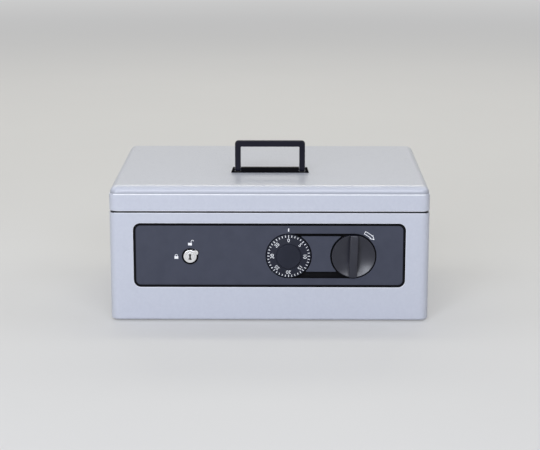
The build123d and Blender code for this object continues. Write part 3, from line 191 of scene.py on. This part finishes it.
class Shading:
    """The nodes of a material or of the surroundings, with short ways to add to them."""

    def __init__(self, owner):
        owner.use_nodes = True
        self.nodes = owner.node_tree.nodes
        self.links = owner.node_tree.links

    def place(self):
        """A point's own coordinates, in metres."""
        return self.nodes.new("ShaderNodeTexCoord").outputs["Object"]

    def coordinates(self):
        """A point's own coordinates one by one, in metres."""
        split = self.nodes.new("ShaderNodeSeparateXYZ")
        self.links.new(self.place(), split.inputs["Vector"])
        return split.outputs

    def noise(self, fineness, detail):
        """Noise over a point's own coordinates."""
        texture = self.nodes.new("ShaderNodeTexNoise")
        texture.inputs["Scale"].default_value = fineness
        texture.inputs["Detail"].default_value = detail
        self.links.new(self.place(), texture.inputs["Vector"])
        return texture.outputs["Fac"]

    def tinted(self, noise, dark, light):
        """A colour that runs from dark to light with noise."""
        ramp = self.nodes.new("ShaderNodeValToRGB")
        for stop, position, color in zip(ramp.color_ramp.elements, NOISE_SPAN, (dark, light)):
            stop.position = position
            stop.color = (*color, 1)
        self.links.new(noise, ramp.inputs["Fac"])
        return ramp.outputs["Color"]

    def ranged(self, value, span, results=(0.0, 1.0)):
        """A number that runs from one result to the other while a value crosses a span."""
        node = self.nodes.new("ShaderNodeMapRange")
        for name, number in zip(("From Min", "From Max", "To Min", "To Max"), (*span, *results)):
            node.inputs[name].default_value = number
        self.links.new(value, node.inputs["Value"])
        return node.outputs["Result"]

    def arithmetic(self, operation, *values):
        """One operation on numbers, each an output or a plain value."""
        node = self.nodes.new("ShaderNodeMath")
        node.operation = operation
        for socket, value in zip(node.inputs, values):
            if isinstance(value, bpy.types.NodeSocket):
                self.links.new(value, socket)
            else:
                socket.default_value = value
        return node.outputs["Value"]

    def product(self, first, second):
        """The product of two numbers."""
        return self.arithmetic("MULTIPLY", first, second)

    def between(self, value, low, high):
        """1 where a number lies between two others, with soft ends."""
        soft = (high - low) * SOFT_SHARE
        rise = self.ranged(value, (low, low + soft))
        fall = self.ranged(value, (high, high - soft))
        return self.product(rise, fall)

    def inside(self, value, half):
        """How far a number lies inside a span with its middle at 0. Outside it, the result is negative."""
        return self.arithmetic("SUBTRACT", half, self.arithmetic("ABSOLUTE", value))

    def seen_directly(self):
        """1 for a ray from the camera, a reflection or a glass, and 0 for a ray that carries light."""
        path = self.nodes.new("ShaderNodeLightPath").outputs
        either = self.arithmetic("MAXIMUM", path["Is Camera Ray"], path["Is Glossy Ray"])
        return self.arithmetic("MAXIMUM", either, path["Is Transmission Ray"])

    def mixed(self, share, first, second):
        """Two shaders mixed by the share of the second."""
        mix = self.nodes.new("ShaderNodeMixShader")
        for socket, value in zip(mix.inputs, (share, first, second)):
            self.links.new(value, socket)
        return mix.outputs["Shader"]


def surface(name, dark, light, roughness, cloud, grain, depth, metallic=0.0, edge=EDGE_RADIUS, specular=0.5):
    """A finish with clouded colour, uneven gloss and soft edges. Cloud and grain say how fine each is."""
    material = bpy.data.materials.new(name)
    shading = Shading(material)
    shader = shading.nodes["Principled BSDF"]
    shader.inputs["Metallic"].default_value = metallic
    shader.inputs["Specular IOR Level"].default_value = specular
    clouds = shading.noise(cloud, CLOUD_DETAIL)
    shading.links.new(shading.tinted(clouds, dark, light), shader.inputs["Base Color"])
    gloss = shading.noise(cloud * GLOSS_FINENESS, GLOSS_DETAIL)
    shading.links.new(shading.ranged(gloss, NOISE_SPAN, roughness), shader.inputs["Roughness"])
    soft_edge = shading.nodes.new("ShaderNodeBevel")
    soft_edge.samples = EDGE_SAMPLES
    soft_edge.inputs["Radius"].default_value = edge
    bump = shading.nodes.new("ShaderNodeBump")
    bump.inputs["Strength"].default_value = 1.0
    bump.inputs["Distance"].default_value = depth
    shading.links.new(shading.noise(grain, GRAIN_DETAIL), bump.inputs["Height"])
    shading.links.new(soft_edge.outputs["Normal"], bump.inputs["Normal"])
    shading.links.new(bump.outputs["Normal"], shader.inputs["Normal"])
    return material


def enamel(name):
    """Semi-gloss light grey paint."""
    dark, light = (0.512, 0.532, 0.600), (0.536, 0.556, 0.622)
    return surface(name, dark, light, (0.27, 0.32), cloud=320, grain=1300, depth=3 * MICRON)


def metal(name, dark, light, roughness, cloud, grain, depth, edge):
    """A bare or plated metal."""
    return surface(name, dark, light, roughness, cloud, grain, depth, metallic=1.0, edge=edge)


def moulding(name, dark, light, roughness, specular, cloud=40):
    """A dark plastic with a fine moulded grain."""
    return surface(name, dark, light, roughness, cloud, grain=2600, depth=10 * MICRON, specular=specular)


def ink(name, dark, light, roughness):
    """A thin mark on a face."""
    return surface(name, dark, light, roughness, cloud=900, grain=3000, depth=4 * MICRON, edge=PRINT_EDGE)


def recolor(material, mask, changed):
    """Mixes another colour into a finish where a mask, made from a point's coordinates, is 1."""
    shading = Shading(material)
    color = shading.nodes["Principled BSDF"].inputs["Base Color"]
    mix = shading.nodes.new("ShaderNodeMix")
    mix.data_type = "RGBA"
    shading.links.new(mask(shading, shading.coordinates()), mix.inputs["Factor"])
    shading.links.new(color.links[0].from_socket, mix.inputs["A"])
    mix.inputs["B"].default_value = (*changed, 1)
    shading.links.new(mix.outputs["Result"], color)


def keyway_mask(shading, place):
    """1 inside the keyway, behind the face of the key plug, where shade is painted."""
    return shading.ranged(shading.arithmetic("SUBTRACT", place["Y"], PLUG_FACE_Y), KEYWAY_SHADE)


def seam_height(shading, place):
    """How far a point lies above the seam between the case and its lid."""
    return shading.arithmetic("SUBTRACT", place["Z"], SEAM_Z)


def skin_depth(shading, place):
    """How far a point lies inside the case's upright outer faces."""
    from_sides = shading.inside(place["X"], CASE_HALF_WIDTH)
    from_ends = shading.inside(place["Y"], CASE_HALF_DEPTH)
    return shading.arithmetic("MINIMUM", from_sides, from_ends)


def case_dust(shading, place):
    """1 in the corner between the case's upstand and its top edge, all round, where shade is painted."""
    inward = shading.ranged(skin_depth(shading, place), CASE_PAINTED_SHADE_DEPTH)
    return shading.product(inward, shading.between(seam_height(shading, place), *CASE_PAINTED_SHADE))


def lid_dust(shading, place):
    """1 just above the step of the lid, fading out up the crown, where shade is painted."""
    height = seam_height(shading, place)
    above = shading.arithmetic("GREATER_THAN", height, LID_STEP[1])
    return shading.product(above, shading.ranged(height, LID_PAINTED_SHADE_FADE))


def worn(shading, band, place):
    """A band on the skin, thinned out a little by noise, where a highlight is painted."""
    patchy = shading.ranged(shading.noise(HIGHLIGHT_FINENESS, HIGHLIGHT_DETAIL), NOISE_SPAN, HIGHLIGHT_SHARES)
    skin = shading.arithmetic("LESS_THAN", skin_depth(shading, place), HIGHLIGHT_SKIN)
    return shading.product(shading.product(band, skin), patchy)


def lid_wear(shading, place):
    """1 on the bend of the lid's step and on its lower edge, where a highlight is painted."""
    height = seam_height(shading, place)
    step = shading.between(height, *LID_STEP)
    rim = shading.between(height, *LID_RIM)
    return worn(shading, shading.arithmetic("MAXIMUM", step, rim), place)


def cutout_reach(shading, place):
    """How far a point lies outside the cut-out's outline when it is drawn in by the radius of its corners."""
    height = shading.arithmetic("SUBTRACT", place["Z"], CUTOUT_MIDDLE_Z)
    squares = []
    for value, half in ((place["X"], CUTOUT_HALF_WIDTH), (height, CUTOUT_HALF_HEIGHT)):
        beyond = shading.arithmetic("MINIMUM", shading.inside(value, half - CUTOUT_CORNER), 0.0)
        squares.append(shading.product(beyond, beyond))
    return shading.arithmetic("SQRT", shading.arithmetic("ADD", *squares))


def case_wear(shading, place):
    """1 on the case's top bend and on the lip round the cut-out, where a highlight is painted."""
    lip = (CUTOUT_CORNER - LIP_HIGHLIGHT_INSIDE, CUTOUT_CORNER + LIP_HIGHLIGHT_OUTSIDE)
    round_cutout = shading.between(cutout_reach(shading, place), *lip)
    on_front = shading.arithmetic("LESS_THAN", place["Y"], HIGHLIGHT_SKIN - CASE_HALF_DEPTH)
    rim = shading.between(seam_height(shading, place), *CASE_RIM)
    return worn(shading, shading.arithmetic("MAXIMUM", shading.product(round_cutout, on_front), rim), place)


# Finishes of the slots: name, dark and light shade and roughness, then what sets each apart
finishes = {
    "case_paint": enamel("case_enamel"),
    "lid_paint": enamel("lid_enamel"),
    "zinc": metal(
        "zinc_plate", (0.47, 0.48, 0.50), (0.55, 0.56, 0.58), (0.50, 0.60),
        cloud=90, grain=2500, depth=4 * MICRON, edge=0.00015,
    ),
    "brass_parts": metal(
        "turned_brass", (0.50, 0.36, 0.14), (0.62, 0.46, 0.20), (0.20, 0.34),
        cloud=80, grain=3000, depth=4 * MICRON, edge=0.00015,
    ),
    "spacer_plastic": surface(
        "acetal", (0.72, 0.71, 0.66), (0.80, 0.79, 0.74), (0.42, 0.55),
        cloud=40, grain=2500, depth=6 * MICRON,
    ),
    "rubber": surface(
        "foot_rubber", (0.010, 0.010, 0.011), (0.020, 0.020, 0.022), (0.70, 0.88),
        cloud=50, grain=2200, depth=20 * MICRON,
    ),
    "panel_plastic": moulding(
        "panel_moulding", (0.040, 0.045, 0.067), (0.047, 0.052, 0.076), (0.48, 0.58), specular=0.3, cloud=60
    ),
    # Panel base: black moulding, made darker still as painted shade in the groove round the face plate and in the
    # stadium pocket
    "moulding_plastic": moulding(
        "black_moulding_and_painted_shade", (0.002, 0.002, 0.003), (0.004, 0.004, 0.005), (0.50, 0.62), specular=0.08, cloud=30
    ),
    "dial_plastic": moulding(
        "dial_moulding", (0.013, 0.015, 0.025), (0.016, 0.018, 0.030), (0.38, 0.48), specular=0.2
    ),
    "knob_plastic": moulding(
        "knob_moulding", (0.010, 0.011, 0.020), (0.013, 0.014, 0.025), (0.28, 0.34), specular=0.6
    ),
    "handle_plastic": moulding(
        "handle_moulding", (0.005, 0.005, 0.012), (0.008, 0.008, 0.016), (0.38, 0.48), specular=0.15
    ),
    "base_plastic": moulding(
        "base_moulding", (0.001, 0.001, 0.002), (0.003, 0.003, 0.004), (0.46, 0.58), specular=0.05
    ),
    "chrome": metal(
        "chrome_plate", (0.90, 0.90, 0.91), (0.95, 0.95, 0.96), (0.08, 0.16),
        cloud=120, grain=3500, depth=MICRON, edge=EDGE_RADIUS,
    ),
    "plug_metal": metal(
        "plug_face", (0.86, 0.86, 0.87), (0.94, 0.94, 0.95), (0.20, 0.30),
        cloud=200, grain=4000, depth=2 * MICRON, edge=0.0002,
    ),
}
# Painted shade: the keyway is coloured near-black behind the plug's face
recolor(finishes["plug_metal"], keyway_mask, KEYWAY_PAINTED_SHADE_COLOR)
# Painted shade: near-black in the corner under the lid's seam, all round the case
recolor(finishes["case_paint"], case_dust, CASE_PAINTED_SHADE_COLOR)
# Painted highlight: a lighter band on the case's top bend and round the cut-out's lip
recolor(finishes["case_paint"], case_wear, CASE_PAINTED_HIGHLIGHT_COLOR)
# Painted shade: a darker band on the crown just above the lid's step
recolor(finishes["lid_paint"], lid_dust, LID_PAINTED_SHADE_COLOR)
# Painted highlight: a lighter band on the bend of the lid's step and on its lower edge
recolor(finishes["lid_paint"], lid_wear, LID_PAINTED_HIGHLIGHT_COLOR)
node_slots = {row["node"]: row["material_slot"] for row in frame["record"]["subparts"]}
for node, piece in frame["nodes"].items():
    for slot in piece.material_slots:
        slot.material = finishes[node_slots[node]]

print_white = ink("printed_white", (0.84, 0.85, 0.87), (0.92, 0.93, 0.95), (0.45, 0.6))
# Painted shade for cross recesses that have no depth of their own
painted_recess_shade = ink("painted_recess_shade", (0.010, 0.010, 0.010), (0.020, 0.020, 0.020), (0.5, 0.7))


def stroke(mesh, points, width, place, closed=False):
    """A flat ribbon along points, drawn in the plane of the front and set into depth by place."""
    count = len(points)
    sides = []
    for index, point in enumerate(points):
        before = points[index - 1] if index or closed else point
        after = points[(index + 1) % count] if index + 1 < count or closed else point
        first = Vector(point) - Vector(before)
        second = Vector(after) - Vector(point)
        first = first.normalized() if first.length else second.normalized()
        second = second.normalized() if second.length else first
        along = (first + second).normalized()
        across = Vector((-along.y, along.x))
        reach = width / 2 / max(MITRE_LIMIT, across.dot(Vector((-first.y, first.x))))
        sides.append((Vector(point) + across * reach, Vector(point) - across * reach))
    corners = [[mesh.verts.new(place(*side)) for side in pair] for pair in sides]
    for index in range(count if closed else count - 1):
        left, right = corners[index], corners[(index + 1) % count]
        mesh.faces.new((left[0], right[0], right[1], left[1]))


def printed(name, mesh, body, finish):
    """A piece of print with a little thickness, which rides on a body."""
    bmesh.ops.recalc_face_normals(mesh, faces=mesh.faces)
    data = bpy.data.meshes.new(name)
    mesh.to_mesh(data)
    mesh.free()
    piece = bpy.data.objects.new(name, data)
    bpy.context.scene.collection.objects.link(piece)
    data.materials.append(finish)
    thickening = piece.modifiers.new("ink", "SOLIDIFY")
    thickening.thickness = PRINT_THICKNESS
    thickening.offset = 0
    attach(piece, body)


def on_panel(x, z):
    """A point of the face plate's front, just proud of it."""
    return Vector((x, PLATE_LOW.y - PRINT_THICKNESS, z))


def on_dial(x, z):
    """A point of the dial's cone, just proud of it."""
    share = (hypot(x, z) - DIAL_CONE_RADIUS) / (DIAL_RIM_RADIUS - DIAL_CONE_RADIUS)
    proud = DIAL_CONE_PROUD + share * (DIAL_RIM_PROUD - DIAL_CONE_PROUD)
    return Vector((DIAL_X + x, PLATE_LOW.y - proud - PRINT_THICKNESS, DIAL_Z + z))


def on_screw_head(x, z):
    """A point of the cover screws' heads, just proud of them."""
    return Vector((x, SCREW_HEAD_Y + PRINT_THICKNESS, z))


def polar(radius, angle):
    """A point at a radius and an angle in degrees, anticlockwise from the right."""
    return radius * cos(radians(angle)), radius * sin(radians(angle))


def numeral(mesh, text, angle):
    """A number laid on the dial, reading outward at an angle from the top, clockwise."""
    curve = bpy.data.curves.new("numeral", "FONT")
    curve.body = text
    curve.size = NUMERAL_HEIGHT / CAPITAL_SHARE
    curve.align_x = "CENTER"
    curve.resolution_u = NUMERAL_SMOOTHNESS
    holder = bpy.data.objects.new("numeral", curve)
    flat = bpy.data.meshes.new_from_object(holder)
    bpy.data.objects.remove(holder)
    shape = bmesh.new()
    shape.from_mesh(flat)
    bpy.data.meshes.remove(flat)
    bmesh.ops.subdivide_edges(shape, edges=shape.edges, cuts=1)
    turn = Matrix.Rotation(-radians(angle), 2)
    for vertex in shape.verts:
        x, z = turn @ Vector((vertex.co.x, vertex.co.y - NUMERAL_HEIGHT / 2 + NUMERAL_MIDDLE))
        vertex.co = on_dial(x, z)
    part = bpy.data.meshes.new("numeral_mesh")
    shape.to_mesh(part)
    shape.free()
    mesh.from_mesh(part)
    bpy.data.meshes.remove(part)


def dial_marks():
    """A tick for every number of the dial, longer at each fifth, where the number stands."""
    mesh = bmesh.new()
    for number in range(TICKS):
        turned = 360 / TICKS * number
        numbered = number % NUMBER_STEP == 0
        inner = LONG_TICK_INNER if numbered else TICK_INNER
        stroke(mesh, [polar(inner, 90 - turned), polar(TICK_OUTER, 90 - turned)], STROKE, on_dial)
        if numbered:
            numeral(mesh, str(number), turned)
    return mesh


def index_mark(mesh):
    """The short line above the dial at which it is read."""
    stroke(mesh, [(DIAL_X, DIAL_Z + MARK_INNER), (DIAL_X, DIAL_Z + INDEX_OUTER)], INDEX_WIDTH, on_panel)


def knob_side(radius, angle):
    """A point of the panel at a radius and an angle about the knob."""
    x, z = polar(radius, angle)
    return KNOB_X + x, KNOB_Z + z


def arrow(mesh):
    """The outline of a bent arrow beside the knob, which points clockwise."""
    turn = (ARROW_NECK - ARROW_START) / ARROW_STEPS
    sweep = [ARROW_START + turn * step for step in range(ARROW_STEPS + 1)]
    outline = [knob_side(ARROW_OUTER, angle) for angle in sweep]
    outline += [
        knob_side(ARROW_OUTER + ARROW_BARB, ARROW_NECK),
        knob_side((MARK_INNER + ARROW_OUTER) / 2, ARROW_TIP),
        knob_side(MARK_INNER - ARROW_BARB, ARROW_NECK),
    ]
    outline += [knob_side(MARK_INNER, angle) for angle in reversed(sweep)]
    stroke(mesh, outline, STROKE, on_panel, closed=True)


def padlock(mesh, x, z, shut):
    """A small padlock sign. Its shackle is lifted and swung aside when it isn't shut."""
    body_z = z - PADLOCK_BODY_DROP
    stroke(mesh, [(x - PADLOCK_HALF, body_z), (x + PADLOCK_HALF, body_z)], PADLOCK_BODY_HEIGHT, on_panel)
    bow_x = x if shut else x + OPEN_SHIFT
    bow_z = z + SHACKLE_RISE + (0 if shut else OPEN_LIFT)
    curve = [polar(SHACKLE_RADIUS, angle) for angle in SHACKLE_ANGLES]
    bow = [(bow_x + point_x, bow_z + point_z) for point_x, point_z in curve]
    foot_z = z + SHACKLE_FOOT
    right_end = (bow[0][0], foot_z if shut else bow[0][1])
    stroke(mesh, [right_end, *bow, (bow[-1][0], foot_z)], SHACKLE_STROKE, on_panel)


def panel_marks():
    """The index above the dial, the arrow beside the knob and the two signs of the key lock."""
    mesh = bmesh.new()
    index_mark(mesh)
    arrow(mesh)
    padlock(mesh, LOCK_X, LOCK_Z + PADLOCK_OFFSET, shut=False)
    padlock(mesh, LOCK_X - PADLOCK_OFFSET, LOCK_Z, shut=True)
    return mesh


def screw_crosses():
    """Painted shade of the cover screws' cross recesses, as flat dark crosses on their heads."""
    mesh = bmesh.new()
    for x in (-SCREW_X, SCREW_X):
        for z in SCREW_HEIGHTS:
            stroke(mesh, [(x - CROSS_HALF, z), (x + CROSS_HALF, z)], CROSS_WIDTH, on_screw_head)
            stroke(mesh, [(x, z - CROSS_HALF), (x, z + CROSS_HALF)], CROSS_WIDTH, on_screw_head)
    return mesh


printed("dial_marks", dial_marks(), "dial", print_white)
printed("panel_marks", panel_marks(), "case", print_white)
# Painted shade: flat dark crosses stand in for the screws' recesses
printed("screw_crosses", screw_crosses(), "case", painted_recess_shade)


def brightened(material):
    """Makes the floor look paler than it is lit, the more the further from the safe. Shadows stay."""
    shading = Shading(material)
    distance = shading.nodes.new("ShaderNodeVectorMath")
    distance.operation = "LENGTH"
    shading.links.new(shading.place(), distance.inputs[0])
    glow_share = shading.ranged(distance.outputs["Value"], GLOW_DISTANCES, GLOW_SHARES)
    glow = shading.nodes.new("ShaderNodeEmission")
    glow.inputs["Color"].default_value = (*WHITE, 1)
    share = shading.product(shading.seen_directly(), glow_share)
    lit = shading.nodes["Principled BSDF"].outputs["BSDF"]
    mixed = shading.mixed(share, lit, glow.outputs["Emission"])
    shading.links.new(mixed, shading.nodes["Material Output"].inputs["Surface"])


# Floor
floor_data = bpy.data.meshes.new("floor")
floor_mesh = bmesh.new()
bmesh.ops.create_grid(floor_mesh, x_segments=FLOOR_CELLS, y_segments=FLOOR_CELLS, size=FLOOR_HALF)
floor_mesh.to_mesh(floor_data)
floor_mesh.free()
floor = bpy.data.objects.new("floor", floor_data)
bpy.context.scene.collection.objects.link(floor)
floor_paper = surface(
    "floor_paper", (0.60, 0.60, 0.605), (0.62, 0.62, 0.625), (0.80, 0.90),
    cloud=2, grain=300, depth=20 * MICRON, specular=0.0,
)
brightened(floor_paper)
floor_data.materials.append(floor_paper)


def lamp(name, place, target, size, watts, tint):
    """A soft rectangular lamp that faces a point."""
    data = bpy.data.lights.new(name, "AREA")
    data.shape = "RECTANGLE"
    data.size, data.size_y = size
    data.energy = watts
    data.color = tint
    holder = bpy.data.objects.new(name, data)
    holder.location = place
    holder.rotation_euler = (Vector(target) - Vector(place)).to_track_quat("-Z", "Y").to_euler()
    bpy.context.scene.collection.objects.link(holder)


for name, row in LAMPS.items():
    lamp(name, *row)

# Surroundings: plain light all round, and a plain white where the camera or a reflection looks past the floor
world = bpy.data.worlds.new("surroundings")
bpy.context.scene.world = world
sky = Shading(world)
ambient = sky.nodes["Background"]
ambient.inputs["Color"].default_value = (*AMBIENT_TINT, 1)
ambient.inputs["Strength"].default_value = AMBIENT_STRENGTH
seen = sky.nodes.new("ShaderNodeBackground")
seen.inputs["Color"].default_value = (*WHITE, 1)
seen.inputs["Strength"].default_value = SEEN_STRENGTH
backdrop = sky.mixed(sky.seen_directly(), ambient.outputs["Background"], seen.outputs["Background"])
sky.links.new(backdrop, sky.nodes["World Output"].inputs["Surface"])

# Camera
camera_data = bpy.data.cameras.new("camera")
camera_data.sensor_width = SENSOR_WIDTH
camera_data.lens = CAMERA_LENS
camera_data.clip_end = CAMERA_REACH
camera = bpy.data.objects.new("camera", camera_data)
camera.location = CAMERA_PLACE
yaw, pitch = radians(CAMERA_YAW), radians(CAMERA_PITCH)
look = Vector((sin(yaw) * cos(pitch), cos(yaw) * cos(pitch), -sin(pitch)))
camera.rotation_euler = look.to_track_quat("-Z", "Y").to_euler()
bpy.context.scene.collection.objects.link(camera)
bpy.context.scene.camera = camera

bpy.context.scene.view_settings.view_transform = "Standard"

bpy.context.view_layer.update()
